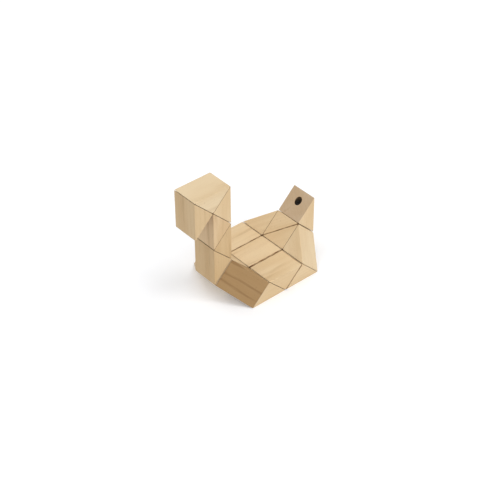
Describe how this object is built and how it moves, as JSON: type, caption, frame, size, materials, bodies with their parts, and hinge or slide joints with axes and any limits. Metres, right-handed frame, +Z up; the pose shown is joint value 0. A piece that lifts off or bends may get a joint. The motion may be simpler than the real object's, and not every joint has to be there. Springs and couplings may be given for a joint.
{
  "type": "wooden folding snake puzzle",
  "caption": "Folding snake puzzle of equal wooden half-cube wedges on one elastic cord, folded into a standing bird with neck, head and tail.",
  "frame": {"origin": "under the middle of the figure's box, on the surface that it stands on", "axes": "+Z up; +Y from the head to the tail, along the rows; +X from the rear row to the front row"},
  "size_m": [0.0902, 0.1496, 0.1283],
  "materials": {
    "beech": "sanded, with a thin matt oil",
    "elastic_cord": "black braided elastic"
  },
  "bodies": {
    "head": {"wedge_01": "beech", "wedge_02": "beech", "cord_head": "elastic_cord", "knot_head": "elastic_cord"},
    "upper_neck": {"wedge_03": "beech", "wedge_04": "beech", "cord_upper_neck": "elastic_cord"},
    "mid_neck": {"wedge_05": "beech", "cord_mid_neck": "elastic_cord"},
    "lower_neck": {"wedge_06": "beech", "cord_lower_neck": "elastic_cord"},
    "front_row": {"wedge_07": "beech", "wedge_08": "beech", "wedge_09": "beech", "wedge_10": "beech", "wedge_11": "beech", "wedge_12": "beech", "cord_front_row": "elastic_cord"},
    "middle_row": {"wedge_13": "beech", "wedge_14": "beech", "wedge_15": "beech", "wedge_16": "beech", "wedge_17": "beech", "cord_middle_row": "elastic_cord"},
    "rear_row": {"wedge_18": "beech", "wedge_19": "beech", "wedge_20": "beech", "wedge_21": "beech", "wedge_22": "beech", "wedge_23": "beech", "cord_rear_row": "elastic_cord"},
    "tail": {"wedge_24": "beech", "cord_tail": "elastic_cord", "knot_tail": "elastic_cord"}
  },
  "joints": [
    {"name": "front_row_swing", "type": "hinge", "parent": "middle_row", "child": "front_row", "pos_m": [0.01515, 0.05356, 0.02128], "axis": [-1, 0, 0], "range_deg": [0, 315]},
    {"name": "rear_row_swing", "type": "hinge", "parent": "middle_row", "child": "rear_row", "pos_m": [-0.01515, -0.03214, 0.02128], "axis": [1, 0, 0], "range_deg": [0, 65]},
    {"name": "lower_neck_turn", "type": "hinge", "parent": "front_row", "child": "lower_neck", "pos_m": [0, -0.04285, 0.03199], "axis": [0, -0.7071, 0.7071], "continuous": true},
    {"name": "mid_neck_turn", "type": "hinge", "parent": "lower_neck", "child": "mid_neck", "pos_m": [0, -0.04285, 0.05341], "axis": [0, 0.7071, 0.7071], "range_deg": [-90, 90]},
    {"name": "upper_neck_turn", "type": "hinge", "parent": "mid_neck", "child": "upper_neck", "pos_m": [0, -0.04285, 0.07484], "axis": [0, -0.7071, 0.7071], "continuous": true},
    {"name": "head_turn", "type": "hinge", "parent": "upper_neck", "child": "head", "pos_m": [0, -0.04285, 0.11769], "axis": [0, -0.7071, 0.7071], "continuous": true},
    {"name": "tail_turn", "type": "hinge", "parent": "rear_row", "child": "tail", "pos_m": [0, 0.06428, 0.03199], "axis": [0, 0.7071, 0.7071], "continuous": true}
  ]
}
